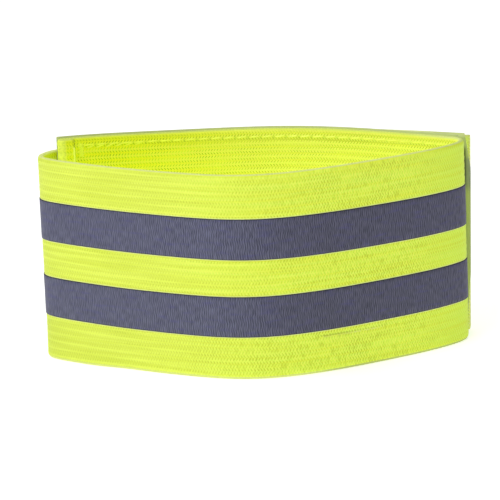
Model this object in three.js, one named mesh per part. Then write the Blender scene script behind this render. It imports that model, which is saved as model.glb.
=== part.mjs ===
// Reflective armband: a woven elastic strap closed to a loop with hook-and-loop tape.
// Millimetres, +Z up. It stands on its lower edge, with its front panel towards -Y.

import * as THREE from 'three';

// Strap
const STRAP_WIDTH = 50;
const STRAP_THICKNESS = 1.5;
const STRAP_LENGTH = 342;
const EDGE_BEVEL = 0.35;
const TAPE_BEVEL = 0.25;
const HEM_LENGTH = 4;
const HEM_THICKNESS = 1.3;
const HEM_STEP = 0.25;
const FREE_END_SLANT = 1.2;
const FREE_END_SLANT_RUN = 3;

// Reflective strips
const STRIP_WIDTH = 10;
const STRIP_THICKNESS = 0.4;
const STRIP_LOWER_Z = 10.4;
const STRIP_UPPER_Z = STRAP_WIDTH - STRIP_LOWER_Z - STRIP_WIDTH;
const STRIP_START_PAST_FOLD = 0.6;
const STRIP_END_MARGIN = 0.6;

// Hook-and-loop closure
const TAPE_THICKNESS = 1;
const TAPE_INSET = 0.5;
const LOOP_PAST_INNER_END = 0.3;
const LOOP_STOP_BEFORE_FOLD = 3;
const HOOK_LENGTH = 50;
const HOOK_END_MARGIN = 0.7;
const HOOK_CORNER = { along: 1.2, down: 9 };

// Pieces that touch on the real armband keep this gap.
const GAP = 0.3;

// Guides of the strap's middle line seen from above, from the folded inner end along the rear,
// round the tight right fold, along the front and round the left corner. The strap bends towards
// them as a smooth curve. lift is how far the lower edge stands above the surface.
const GUIDES = [
  // x, y, lift
  [-48.5, 11.0, 3.4],
  [-36.5, 15.0, 3.0],
  [-21.5, 17.5, 2.5],
  [-5.0, 20.5, 2.0],
  [10.5, 20.5, 1.6],
  [24.5, 17.5, 1.1],
  [37.0, 13.0, 0.5],
  [46.0, 9.0, 0.3],
  [50.0, 7.0, 0.2],
  [51.0, 5.0, 0.1],
  [50.5, 2.0, 0.0],
  [47.5, -1.5, 0.0],
  [40.5, -7.0, 0.0],
  [29.5, -13.5, 0.0],
  [16.5, -20.5, 0.0],
  [3.5, -25.0, 0.0],
  [-7.5, -24.5, 0.0],
  [-19.5, -19.0, 0.0],
  [-32.0, -12.0, 0.0],
  [-42.0, -5.0, 0.0],
  [-48.5, 0.0, 0.0],
  [-52.5, 4.0, 0.0],
  [-52.5, 8.0, 0.0],
  [-51.5, 13.0, 0.0],
  [-47.0, 16.5, 0.0],
].map(([x, y, lift]) => ({ x, y, lift }));

// The first guides are the inner layer. The outer layer runs behind it, one tape away on the
// left and two tapes away where the hook panel lies.
const INNER_LAYER_GUIDES = 8;
const ONE_TAPE_STEP = STRAP_THICKNESS + TAPE_THICKNESS + 2 * GAP;
const TWO_TAPE_STEP = ONE_TAPE_STEP + TAPE_THICKNESS + GAP;
const STEP_CLEARANCE = 0.1;
const STEP_FROM_X = -22;
const STEP_TO_X = -8;
const FREE_END_REACH = 8;
const SAMPLES_PER_GUIDE = 6;
const SHORTEST_STEP = 0.2;

function outerLayerGuides() {
  const guides = [];
  for (let i = 1; i < INNER_LAYER_GUIDES; i++) {
    const before = GUIDES[i - 1];
    const after = GUIDES[i + 1];
    const along = new THREE.Vector2(after.x - before.x, after.y - before.y).normalize();
    const share = THREE.MathUtils.smoothstep(GUIDES[i].x, STEP_FROM_X, STEP_TO_X);
    const step = THREE.MathUtils.lerp(ONE_TAPE_STEP, TWO_TAPE_STEP, share) + STEP_CLEARANCE;
    guides.push({ x: GUIDES[i].x - along.y * step, y: GUIDES[i].y + along.x * step, lift: 0 });
  }
  return guides;
}

// A point past the last guide, in line with the two before it.
function beyond(last, previous, reach) {
  const along = new THREE.Vector2(last.x - previous.x, last.y - previous.y);
  const length = reach ?? along.length();
  along.setLength(length);
  return { x: last.x + along.x, y: last.y + along.y, lift: last.lift };
}

// Uniform cubic B-spline through the guides, as a three.js curve whose z is the lift.
class StrapRoute extends THREE.Curve {
  constructor() {
    super();
    const guides = [...GUIDES, ...outerLayerGuides()];
    guides.push(beyond(guides.at(-1), guides.at(-2), FREE_END_REACH));
    guides.unshift(beyond(guides[0], guides[1]));
    guides.push(beyond(guides.at(-1), guides.at(-2)));
    this.guides = guides;
    this.spans = guides.length - 3;
  }

  getPoint(t, target = new THREE.Vector3()) {
    const place = t * this.spans;
    const first = Math.min(Math.floor(place), this.spans - 1);
    const u = place - first;
    const weights = [
      (1 - u) ** 3 / 6,
      (3 * u ** 3 - 6 * u ** 2 + 4) / 6,
      (-3 * u ** 3 + 3 * u ** 2 + 3 * u + 1) / 6,
      u ** 3 / 6,
    ];
    target.set(0, 0, 0);
    weights.forEach((weight, i) => {
      const guide = this.guides[first + i];
      target.x += weight * guide.x;
      target.y += weight * guide.y;
      target.z += weight * guide.lift;
    });
    return target;
  }
}

// Stations along the strap: s is the distance from the inner end, and the normal points to the
// strap's outer face, which is on the left of the way round.
function walkStrap(route) {
  const count = route.spans * SAMPLES_PER_GUIDE;
  const points = Array.from({ length: count + 1 }, (_, i) => route.getPoint(i / count));
  let s = 0;
  return points.map((point, i) => {
    const before = points[Math.max(i - 1, 0)];
    const after = points[Math.min(i + 1, count)];
    const along = new THREE.Vector2(after.x - before.x, after.y - before.y).normalize();
    if (i > 0) {
      s += Math.hypot(point.x - before.x, point.y - before.y);
    }
    return { s, x: point.x, y: point.y, lift: point.z, alongX: along.x, alongY: along.y };
  });
}

const stations = walkStrap(new StrapRoute());

// The right fold: the strap's furthest point to the right before it turns to the front.
const firstHalf = stations.slice(0, stations.length / 2);
const foldS = firstHalf.reduce((best, station) => (station.x > best.x ? station : best)).s;

// The station at distance s, between or past the walked ones.
function stationAt(s) {
  let i = stations.findIndex((station) => station.s > s);
  i = THREE.MathUtils.clamp(i < 0 ? stations.length - 1 : i, 1, stations.length - 1);
  const a = stations[i - 1];
  const b = stations[i];
  const u = (s - a.s) / (b.s - a.s);
  const mixed = {};
  for (const key of Object.keys(a)) {
    mixed[key] = THREE.MathUtils.lerp(a[key], b[key], u);
  }
  return mixed;
}

// The stations of one piece, with its two ends and any extra cuts put in between.
function stationsBetween(from, to, cuts = []) {
  const marks = [from, ...cuts, to];
  const free = stations.filter(({ s }) => s > from && s < to
    && marks.every((mark) => Math.abs(mark - s) > SHORTEST_STEP));
  return [...free, ...marks.map(stationAt)].sort((a, b) => a.s - b.s);
}

// Cross-sections are [offset, z] corners, where offset is measured from the strap's middle
// towards its outer face.
function plainSection(inside, outside, low, high) {
  return [
    [inside, low],
    [outside, low],
    [outside, high],
    [inside, high],
  ];
}

function bevelledSection(inside, outside, low, high, bevel) {
  return [
    [inside, low + bevel],
    [inside + bevel, low],
    [outside - bevel, low],
    [outside, low + bevel],
    [outside, high - bevel],
    [outside - bevel, high],
    [inside + bevel, high],
    [inside, high - bevel],
  ];
}

// Sweeps a section along the strap. sectionAt(s) gives the corners at a station, and
// slideAt(s, z) how far a corner is slid along the strap there.
function sweep(pieceStations, sectionAt, slideAt = () => 0) {
  const positions = [];
  const rings = pieceStations.map((station) => sectionAt(station.s).map(([offset, z]) => {
    const slide = slideAt(station.s, z);
    const x = station.x - station.alongY * offset + station.alongX * slide;
    const y = station.y + station.alongX * offset + station.alongY * slide;
    positions.push(x, y, z + station.lift);
    return positions.length / 3 - 1;
  }));
  const triangles = [];
  for (let i = 0; i + 1 < rings.length; i++) {
    const near = rings[i];
    const far = rings[i + 1];
    for (let k = 0; k < near.length; k++) {
      const next = (k + 1) % near.length;
      triangles.push(near[k], far[next], far[k], near[k], near[next], far[next]);
    }
  }
  const first = rings[0];
  const last = rings.at(-1);
  for (let k = 1; k + 1 < first.length; k++) {
    triangles.push(first[0], first[k + 1], first[k], last[0], last[k], last[k + 1]);
  }
  const geometry = new THREE.BufferGeometry();
  geometry.setAttribute('position', new THREE.Float32BufferAttribute(positions, 3));
  geometry.setIndex(triangles);
  geometry.computeVertexNormals();
  return geometry;
}

// The free end is cut a little slanted: its top reaches further than its foot.
function slantAtEnd(end) {
  return (s, z) => {
    const share = THREE.MathUtils.clamp(1 - (end - s) / FREE_END_SLANT_RUN, 0, 1);
    return share * FREE_END_SLANT * (z / STRAP_WIDTH - 0.5);
  };
}

function elasticBand() {
  const half = STRAP_THICKNESS / 2;
  const hemEnds = [HEM_LENGTH, HEM_LENGTH + HEM_STEP];
  const pieceStations = stationsBetween(0, STRAP_LENGTH, hemEnds);
  const section = (s) => {
    const hem = s <= HEM_LENGTH ? HEM_THICKNESS : 0;
    return bevelledSection(-half - hem, half, 0, STRAP_WIDTH, EDGE_BEVEL);
  };
  return sweep(pieceStations, section, slantAtEnd(STRAP_LENGTH));
}

function reflectiveStrip(low) {
  const inside = STRAP_THICKNESS / 2 + GAP;
  const section = () => plainSection(inside, inside + STRIP_THICKNESS, low, low + STRIP_WIDTH);
  const end = STRAP_LENGTH - STRIP_END_MARGIN;
  return sweep(stationsBetween(foldS + STRIP_START_PAST_FOLD, end), section, slantAtEnd(end));
}

function loopPanel() {
  const inside = STRAP_THICKNESS / 2 + GAP;
  const outside = inside + TAPE_THICKNESS;
  const high = STRAP_WIDTH - TAPE_INSET;
  const section = () => bevelledSection(inside, outside, TAPE_INSET, high, TAPE_BEVEL);
  return sweep(stationsBetween(-LOOP_PAST_INNER_END, foldS - LOOP_STOP_BEFORE_FOLD), section);
}

function hookPanel() {
  const outside = -STRAP_THICKNESS / 2 - GAP;
  const inside = outside - TAPE_THICKNESS;
  const end = STRAP_LENGTH - HOOK_END_MARGIN;
  const cornerStart = end - HOOK_CORNER.along;
  const section = (s) => {
    const cut = HOOK_CORNER.down * Math.max(0, (s - cornerStart) / HOOK_CORNER.along);
    const high = STRAP_WIDTH - TAPE_INSET - cut;
    return bevelledSection(inside, outside, TAPE_INSET, high, TAPE_BEVEL);
  };
  return sweep(stationsBetween(end - HOOK_LENGTH, end, [cornerStart]), section, slantAtEnd(end));
}

function piece(name, geometry, color, roughness) {
  const material = new THREE.MeshStandardMaterial({ color, roughness, metalness: 0 });
  const mesh = new THREE.Mesh(geometry, material);
  mesh.name = name;
  return mesh;
}

const YELLOW = 0xdef25c;
const REFLECTIVE_GREY = 0x62647a;
const TAPE_GREY = 0x7f8c64;

const armband = new THREE.Group();
armband.add(
  piece('elastic_band', elasticBand(), YELLOW, 0.8),
  piece('reflective_strip_upper', reflectiveStrip(STRIP_UPPER_Z), REFLECTIVE_GREY, 0.5),
  piece('reflective_strip_lower', reflectiveStrip(STRIP_LOWER_Z), REFLECTIVE_GREY, 0.5),
  piece('loop_panel', loopPanel(), TAPE_GREY, 0.95),
  piece('hook_panel', hookPanel(), TAPE_GREY, 0.9),
);

export default armband;
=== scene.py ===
"""A reflective armband: a woven elastic strap with two reflective strips, closed to a loop with
hook-and-loop tape and stood on its edge. Lengths are millimetres until a mesh is made."""

import itertools
import math

import bpy
import numpy as np
from mathutils import Matrix, Vector


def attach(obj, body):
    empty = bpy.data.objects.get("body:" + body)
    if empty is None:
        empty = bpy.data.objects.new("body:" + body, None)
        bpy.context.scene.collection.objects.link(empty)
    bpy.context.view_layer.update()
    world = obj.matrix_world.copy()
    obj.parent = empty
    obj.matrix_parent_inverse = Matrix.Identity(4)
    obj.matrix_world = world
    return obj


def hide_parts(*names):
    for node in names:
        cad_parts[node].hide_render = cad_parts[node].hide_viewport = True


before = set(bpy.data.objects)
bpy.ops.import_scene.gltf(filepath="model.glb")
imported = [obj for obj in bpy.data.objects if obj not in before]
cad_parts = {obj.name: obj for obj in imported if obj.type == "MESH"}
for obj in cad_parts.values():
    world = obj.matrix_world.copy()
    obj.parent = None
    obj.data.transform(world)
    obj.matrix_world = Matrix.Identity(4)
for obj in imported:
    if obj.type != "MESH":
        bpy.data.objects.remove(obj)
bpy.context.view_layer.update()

MM = 0.001
UPRIGHT = (0.0, 0.0, 1.0)

# Strap
STRAP_WIDTH = 50.0
STRAP_THICKNESS = 1.5
STRAP_LENGTH = 341.05
RIBS = 29
RIB_POINTS = 5
RIB_RELIEF = 0.07
EDGE_ROUND = 0.28
EDGE_POINTS = 6
FACE_WIDTH = STRAP_WIDTH - 2 * EDGE_ROUND
RIB_PITCH = FACE_WIDTH / RIBS
STRAP_STEP = 1.3
WEFT_PITCH = 0.83
WEFT_RADIUS = 0.13
FREE_END_SLANT = 1.2
FREE_END_SLANT_RUN = 3.0
RIM_WIDTH = 0.9
RIM_THINNER = 0.3
FRONT_RISE = 0.3
FREE_END_DROP = 0.15
LEFT_PULL = 1.7
CORNER_PULL = 0.7
PULLED_BELOW = 9
REAR_LEFT_DROP = 0.3
TOP_MOVED_ABOVE = 41

# Hem at the inner end, folded over on the inner face
HEM_LENGTH = 3.75
HEM_BEND_RADIUS = 0.68
HEM_HALF_THICKNESS = 0.6
HEM_BEND_AT = HEM_BEND_RADIUS + HEM_HALF_THICKNESS

# Reflective strips
STRIP_WIDTH = 10.0
STRIP_LOWER_Z = 10.5
STRIP_UPPER_Z = 29.65
STRIP_INSIDE = 0.62
STRIP_OUTSIDE = 0.86
STRIP_START_PAST_FOLD = 0.6
STRIP_END_MARGIN = 0.6
STRIP_STEP = 0.16
UPPER_STRIP_DRIFT = -0.5
STRIP_SETTLE_LENGTH = 90.0
STROKE_PITCH = 0.56
PUCKER_PITCH = 0.28
PUCKER_RELIEF = 0.028

# Hook-and-loop closure: each tape is a ground cloth with pile or hooks on it
TAPE_INSET = 0.1
TAPE_INSIDE = 0.8
LOOP_GROUND = 0.85
HOOK_GROUND = 0.45
LOOP_RISE = 0.18
HOOK_RISE = 0.45
LOOP_START = 0.35
LOOP_STOP_BEFORE_FOLD = 3.0
HOOK_LENGTH = 51.5
HOOK_TAPE_END = STRAP_LENGTH + 0.65
HOOK_CORNER_ALONG = 1.3
HOOK_TOP_CORNER = 8.5
HOOK_LOW_CORNER = 14.0
HOOK_PITCH_ALONG = 1.6
HOOK_PITCH_ACROSS = 1.25
PILE_BAND = 5.0
PILE_LOOPS = 3600
PILE_RADIUS = 0.07
HOOK_RADIUS = 0.09

# Sewing
THREAD_RADIUS = 0.17
STITCH_PITCH = 3.2
SEAM_INSET = 2.15
ZIGZAG_FROM = 5.4
ZIGZAG_TO = 6.7
BARTACK_TURNS = 12
BARTACKS = [
    ("upper_bartack", STRAP_WIDTH - 1.6, -0.3),
    ("lower_bartack", 1.6, 0.3),
]
SEAM_LOCK_END = 22
HOOK_SEAM_INSET = 1.5
BEAD_RADIUS = 0.28
BEAD_WOBBLE = 0.03
FIBRES = 420

# Guides of the strap's middle line seen from above, from the folded inner end along the rear,
# round the tight right fold, along the front and round the left corner: x, y and lift.
GUIDES = [
    (-48.5, 11.0, 3.2),
    (-36.5, 15.0, 2.7),
    (-21.5, 17.5, 2.2),
    (-5.0, 20.5, 1.7),
    (10.5, 20.5, 1.45),
    (24.5, 17.5, 1.0),
    (37.0, 13.0, 0.5),
    (45.8, 9.0, 0.3),
    (49.7, 7.0, 0.2),
    (50.7, 5.0, 0.1),
    (50.2, 2.0, 0.0),
    (47.3, -1.5, 0.0),
    (40.5, -7.0, 0.0),
    (29.5, -13.5, 0.0),
    (16.5, -20.5, 0.0),
    (3.5, -25.0, 0.0),
    (-7.5, -24.5, 0.0),
    (-19.5, -19.0, 0.0),
    (-32.0, -12.0, 0.0),
    (-42.0, -5.0, 0.0),
    (-48.5, 0.0, 0.0),
    (-52.5, 4.0, 0.0),
    (-52.5, 7.6, 0.0),
    (-51.3, 12.3, 0.0),
    (-47.0, 16.1, 0.0),
]
INNER_LAYER_GUIDES = 8
ONE_TAPE_STEP = 3.1
TWO_TAPE_STEP = 4.4
STEP_CLEARANCE = 0.1
STEP_FROM_X = -22.0
STEP_TO_X = -8.0
FREE_END_REACH = 8.0
ROUTE_STEPS = 24


def smooth_share(value, low, high):
    """0 at low and 1 at high, which may also be the smaller of the two, and smooth between."""
    share = np.clip((value - low) / (high - low), 0, 1)
    return share * share * (3 - 2 * share)


def strap_guides():
    """The guides with the outer layer's, one or two tapes behind the inner layer, and both ends."""
    guides = [np.array(row) for row in GUIDES]
    for i in range(1, INNER_LAYER_GUIDES):
        along = np.subtract(GUIDES[i + 1], GUIDES[i - 1])[:2]
        along = along / np.hypot(*along)
        share = smooth_share(GUIDES[i][0], STEP_FROM_X, STEP_TO_X)
        step = ONE_TAPE_STEP + (TWO_TAPE_STEP - ONE_TAPE_STEP) * share + STEP_CLEARANCE
        x, y = GUIDES[i][0] - along[1] * step, GUIDES[i][1] + along[0] * step
        guides.append(np.array((x, y, 0.0)))
    last_step = guides[-1] - guides[-2]
    guides.append(guides[-1] + last_step * FREE_END_REACH / np.hypot(*last_step[:2]))
    guides.insert(0, 2 * guides[0] - guides[1])
    guides[0][2] = guides[1][2]
    guides.append(2 * guides[-1] - guides[-2])
    return np.array(guides)


class StrapRoute:
    """The strap's middle line as a smooth curve, with s the distance from the inner end."""

    def __init__(self):
        guides = strap_guides()
        u = np.arange(ROUTE_STEPS) / ROUTE_STEPS
        weights = np.stack([
            (1 - u) ** 3,
            3 * u**3 - 6 * u**2 + 4,
            -3 * u**3 + 3 * u**2 + 3 * u + 1,
            u**3,
        ], axis=1) / 6
        spans = [weights @ guides[first:first + 4] for first in range(len(guides) - 3)]
        self.x, self.y, self.lift = np.concatenate(spans).T
        steps = np.hypot(np.diff(self.x), np.diff(self.y))
        self.s = np.concatenate([[0], np.cumsum(steps)])
        self.along_x, self.along_y = np.gradient(self.x, self.s), np.gradient(self.y, self.s)
        first_half = self.s < self.s[-1] / 2
        self.fold_s = float(self.s[np.argmax(np.where(first_half, self.x, -np.inf))])
        self.left_s = float(self.s[np.argmin(np.where(first_half, np.inf, self.x))])

    def along(self, s):
        """Unit vectors along the strap at each s."""
        x, y = np.interp(s, self.s, self.along_x), np.interp(s, self.s, self.along_y)
        length = np.hypot(x, y)
        return np.stack([x / length, y / length, np.zeros_like(length)], axis=-1)

    def outward(self, s):
        """Unit vectors out of the strap's outer face at each s."""
        along = self.along(s)
        return np.stack([-along[..., 1], along[..., 0], along[..., 2]], axis=-1)

    def place(self, s, offset, height):
        """Points at distance s, so far outwards from the strap's middle and up from its edge."""
        s, offset, height = np.broadcast_arrays(s, offset, height)
        known = np.clip(s, 0, self.s[-1])
        x, y = np.interp(known, self.s, self.x), np.interp(known, self.s, self.y)
        z = height + np.interp(known, self.s, self.lift)
        middle = np.stack([x, y, z], axis=-1) + self.along(known) * (s - known)[..., None]
        return middle + self.outward(known) * offset[..., None]

    def front_s(self, x):
        """The distance s at which the front of the strap passes x."""
        front = (self.s > self.fold_s) & (self.s < self.fold_s + 120)
        return float(np.interp(-x, -self.x[front], self.s[front]))


ROUTE = StrapRoute()
FOLD = ROUTE.fold_s

# A fine crease in the front's lower zone
CREASE_START = ROUTE.front_s(27)
CREASE_END = ROUTE.front_s(15)
CREASE_Z = 9.2
CREASE_WIDTH = 0.16
CREASE_DEPTH = 0.1
CREASE_POINTS = np.array([-0.56, -0.45, -0.35, -0.22, -0.1, 0.0, 0.1, 0.22])


def slant(s, height, end):
    """How far the free end's slanted cut moves a point along the strap."""
    share = np.clip(1 - (end - s) / FREE_END_SLANT_RUN, 0, 1)
    return share * FREE_END_SLANT * (height / STRAP_WIDTH - 0.5)


def edge_shift(s, height):
    """How far the strap's edges lie off the straight: forwards at the front's lower left, up along
    the front's top, and a little down at the free end and behind the left bend."""
    left = LEFT_PULL * smooth_share(s, ROUTE.front_s(-31), ROUTE.front_s(-44))
    corner = CORNER_PULL * smooth_share(s, ROUTE.front_s(-44), ROUTE.left_s)
    before_rear = smooth_share(s, ROUTE.left_s + 16, ROUTE.left_s + 4)
    forwards = (left + corner) * before_rear * smooth_share(height, PULLED_BELOW, 0)
    front = smooth_share(s, FOLD - 6, FOLD + 4) * smooth_share(s, FOLD + 135, FOLD + 120)
    taped = smooth_share(s, STRAP_LENGTH - HOOK_LENGTH, STRAP_LENGTH - HOOK_LENGTH + 15)
    behind = smooth_share(s, ROUTE.left_s - 1, ROUTE.left_s + 5)
    behind = behind * smooth_share(s, ROUTE.left_s + 28, ROUTE.left_s + 18)
    rise = FRONT_RISE * front - FREE_END_DROP * taped - REAR_LEFT_DROP * behind
    return forwards, rise * smooth_share(height, TOP_MOVED_ABOVE, STRAP_WIDTH)


def rim_share(height):
    """The strap's thickness near its two edges, as a share of its full thickness."""
    from_edge = STRAP_WIDTH / 2 - np.abs(height - STRAP_WIDTH / 2)
    return 1 - RIM_THINNER * smooth_share(from_edge, RIM_WIDTH, 0)


# Meshes


def make_piece(name, points, faces, finishes, marks=None, finish_of_face=None):
    """An object in metres from points in millimetres, with a number mark per point."""
    mesh = bpy.data.meshes.new(name)
    mesh.from_pydata((np.reshape(points, (-1, 3)) * MM).tolist(), [], faces)
    for label, values in (marks or {}).items():
        attribute = mesh.attributes.new(label, "FLOAT", "POINT")
        attribute.data.foreach_set("value", np.ravel(values).astype(np.float32))
    mesh.polygons.foreach_set("use_smooth", [True] * len(mesh.polygons))
    if finish_of_face is not None:
        mesh.polygons.foreach_set("material_index", finish_of_face)
    for finish in finishes:
        mesh.materials.append(finish)
    mesh.update()
    piece = bpy.data.objects.new(name, mesh)
    bpy.context.scene.collection.objects.link(piece)
    return piece


def ring_faces(rings, ring_size):
    """Quads between neighbouring closed rings, facing out of a sweep that runs to the right."""
    k = np.arange(ring_size)
    following = (k + 1) % ring_size
    start = np.arange(rings - 1)[:, None] * ring_size
    quads = np.stack([
        start + k,
        start + following,
        start + ring_size + following,
        start + ring_size + k,
    ], axis=-1)
    return quads.reshape(-1, 4)


def end_faces(ring_size, start, facing_back):
    """Quads that close a flat ring, from its outer side straight across to its inner side."""
    k = np.arange(ring_size // 2 - 1)
    quads = start + np.stack([k, ring_size - 1 - k, ring_size - 2 - k, k + 1], axis=-1)
    return quads if facing_back else quads[:, ::-1]


def swept(name, points, finishes, marks):
    """A closed body swept through rings of points, with its two cut ends in the last finish."""
    rings, ring_size = points.shape[:2]
    sides = ring_faces(rings, ring_size)
    back = end_faces(ring_size, 0, True)
    front = end_faces(ring_size, (rings - 1) * ring_size, False)
    faces = np.concatenate([sides, back, front]).tolist()
    cut = [0] * len(sides) + [len(finishes) - 1] * (len(back) + len(front))
    full_marks = {
        label: np.broadcast_to(values, (rings, ring_size))
        for label, values in marks.items()
    }
    return make_piece(name, points, faces, finishes, full_marks, cut)


def joined(name, pieces):
    """One object of that name from several with the same finish."""
    first = pieces[0]
    with bpy.context.temp_override(active_object=first, selected_editable_objects=pieces):
        bpy.ops.object.join()
    first.name = name
    return first


def tubes(name, centres, reference, radii, sides, finish, marks):
    """Many short tubes in one mesh. centres is (tubes, steps, 3), reference crosses each tube,
    and radii and marks are spread over tubes and steps."""
    count, steps = centres.shape[:2]
    tangent = np.gradient(centres, axis=1)
    tangent /= np.linalg.norm(tangent, axis=2, keepdims=True)
    across = np.cross(tangent, np.broadcast_to(reference, centres.shape))
    across /= np.linalg.norm(across, axis=2, keepdims=True)
    up = np.cross(across, tangent)
    turn = np.arange(sides) * 2 * math.pi / sides
    radii = np.broadcast_to(radii, (count, steps))[:, :, None, None]
    round_it = np.cos(turn)[:, None] * across[:, :, None] + np.sin(turn)[:, None] * up[:, :, None]
    points = centres[:, :, None] + radii * round_it
    of_one_tube = ring_faces(steps, sides)[:, ::-1]
    tube_size = steps * sides
    starts = np.arange(count)[:, None, None] * tube_size
    quads = (starts + of_one_tube).reshape(-1, 4).tolist()
    lids = []
    for start in range(0, count * tube_size, tube_size):
        last = start + tube_size - 1
        lids.append(list(range(start, start + sides)))
        lids.append(list(range(last, last - sides, -1)))
    full_marks = {}
    for label, values in marks.items():
        of_rings = np.broadcast_to(values, (count, steps))[..., None]
        full_marks[label] = np.broadcast_to(of_rings, (count, steps, sides))
    return make_piece(name, points, quads + lids, [finish], full_marks)


# Finishes

# The weave's marks lie closer together than the turns at the edges
MARK_PITCH = 0.75

# Emission strengths, a painted glow: on the yellow yarns and the thread it stands partly for the
# yarn's real fluorescence, on the tapes it lights only their top edges as painted light
FLUORESCENT_GLOW = 0.2
INNER_GLOW = 0.25
THREAD_GLOW = 0.34
TAPE_GLOW = 0.14
OUTER_LESS_GLOW = 1 - FLUORESCENT_GLOW / INNER_GLOW
BLACK = (0.0, 0.0, 0.0, 1.0)


def linear(part):
    """Red, green or blue as linear light, from its usual coding."""
    return part / 12.92 if part <= 0.04045 else ((part + 0.055) / 1.055) ** 2.4


def colour(hex_code):
    """Linear colour from the usual hex code."""
    parts = [int(hex_code[i:i + 2], 16) / 255 for i in (0, 2, 4)]
    return (*map(linear, parts), 1.0)


class Wire:
    """A node's output that can be reckoned with: each operation adds its Math node."""

    def __init__(self, finish, socket):
        self.finish = finish
        self.socket = socket

    def maths(self, operation, *values):
        return self.finish.node("ShaderNodeMath", {"operation": operation}, dict(enumerate(values)))

    def __add__(self, other):
        return self.maths("ADD", self, other)

    def __radd__(self, other):
        return self.maths("ADD", other, self)

    def __sub__(self, other):
        return self.maths("SUBTRACT", self, other)

    def __rsub__(self, other):
        return self.maths("SUBTRACT", other, self)

    def __mul__(self, other):
        return self.maths("MULTIPLY", self, other)

    def __rmul__(self, other):
        return self.maths("MULTIPLY", other, self)

    def __truediv__(self, other):
        return self.maths("DIVIDE", self, other)

    def __mod__(self, other):
        return self.maths("FLOORED_MODULO", self, other)

    def __abs__(self):
        return self.maths("ABSOLUTE", self)

    def floor(self):
        return self.maths("FLOOR", self)

    def distance(self, other):
        """How far this place is from another."""
        settings = {"operation": "DISTANCE"}
        return self.finish.node("ShaderNodeVectorMath", settings, {0: self, 1: other}, "Value")

    def fraction(self):
        return self.maths("FRACT", self)

    def cosine(self):
        return self.maths("COSINE", self)

    def wave(self):
        """1 at each whole number and 0 halfway between."""
        return (self * (2 * math.pi)).cosine() * 0.5 + 0.5

    def share(self, low, high):
        """0 below low and 1 above high, or the other way round, and smooth between them."""
        return self.finish.node(
            "ShaderNodeMapRange",
            {"interpolation_type": "SMOOTHSTEP"},
            {"Value": self, "From Min": low, "From Max": high},
        )


class Finish:
    """A material of this object, with one Principled shader."""

    def __init__(self, name, shader_values):
        self.material = bpy.data.materials.new(name)
        self.material.use_nodes = True
        self.tree = self.material.node_tree
        self.shader = self.tree.nodes["Principled BSDF"]
        for label, value in shader_values.items():
            self.shader.inputs[label].default_value = value

    def node(self, kind, settings, values, output=0):
        """One of the outputs of a new node with those settings and inputs."""
        made = self.tree.nodes.new(kind)
        for label, value in settings.items():
            setattr(made, label, value)
        for label, value in values.items():
            if isinstance(value, Wire):
                self.tree.links.new(value.socket, made.inputs[label])
            else:
                made.inputs[label].default_value = value
        return Wire(self, made.outputs[output])

    def mark(self, label):
        """The number mark of that name on the mesh."""
        return self.node("ShaderNodeAttribute", {"attribute_name": label}, {}, "Fac")

    def noise(self, place, detail=2.0, roughness=0.5):
        """Noise from 0 to 1 at a place (x, y) or (x, y, z), with features about one unit wide."""
        spot = self.node("ShaderNodeCombineXYZ", {}, dict(enumerate(place)))
        values = {"Vector": spot, "Scale": 1.0, "Detail": detail, "Roughness": roughness}
        return self.node("ShaderNodeTexNoise", {}, values)

    def mix(self, share, *colours):
        """The first colour where share is 0, the second where it is 1: wires or hex codes."""
        none, full = (colour(made) if isinstance(made, str) else made for made in colours)
        return self.node("ShaderNodeMix", {"data_type": "RGBA"}, {0: share, 6: none, 7: full}, 2)

    def feed(self, label, wire):
        self.tree.links.new(wire.socket, self.shader.inputs[label])

    def feed_glowing(self, wire):
        """The colour of the surface and, the same, of the light that it gives back."""
        self.feed("Base Color", wire)
        self.feed("Emission Color", wire)

    def relief(self, height, depth):
        """Bump of that depth in millimetres where height goes from 0 to 1."""
        values = {"Strength": 1.0, "Distance": depth * MM, "Height": height}
        self.feed("Normal", self.node("ShaderNodeBump", {}, values))


# Zones of the yellow, from where a look starts to where it is full: those in X are places along
# the front, the others lengths from the folded end. The fold, low left, low right, crease, hem
# and hole zones hold painted shade.
COARSER_WEAVE_X = (-21, 25)
GREENER_TONE_X = (-28, 18)
FOLD_SHADE_X = (34, 49)
LOW_LEFT_SHADE_X = (-22, -36)
LOW_RIGHT_SHADOW_X = (8, 20)
DEEP_CREASE_X = (23, 19)
PALER_INSIDE = (12, 65)
RIBBED_INSIDE = (25, 70)
SHADED_BY_HEM = (50, 22)
FAINTER_HOLES = (90, 60)


def over_front(along, from_x, to_x):
    """0 until the front passes from_x, 1 beyond to_x, and smooth between."""
    return along.share(ROUTE.front_s(from_x), ROUTE.front_s(to_x))


def inner_layer(along):
    """1 on the layer that starts at the hem, and 0 from the fold on."""
    return along.share(FOLD - 4, FOLD - 20)


class StrapPlace:
    """Where a point of the strap lies: the mesh's marks, and a share for each zone."""

    def __init__(self, finish):
        self.along = finish.mark("along")
        self.across = finish.mark("across")
        self.side = finish.mark("side")
        self.from_edge = STRAP_WIDTH / 2 - abs(self.across - STRAP_WIDTH / 2)
        self.inner_face = self.side.share(0.0, -0.5)
        self.inner = self.inner_face + self.along.share(0.6, 0.0)
        self.outer = 1 - self.inner
        # The next two are zones of painted shade: by the hem, and by the fold on the front's outer
        # face.
        self.hem_shade = self.along.share(*SHADED_BY_HEM)
        self.fold_shade = over_front(self.along, *FOLD_SHADE_X) * self.outer
        self.toned = over_front(self.along, *GREENER_TONE_X)
        further_left_low = self.along - self.across.share(14, 8) * 14
        self.right = over_front(further_left_low, *COARSER_WEAVE_X) * self.outer
        ribbed = self.along.share(*RIBBED_INSIDE) * self.along.share(FOLD + 60, FOLD + 10)
        self.ribbed = ribbed * self.inner


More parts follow.
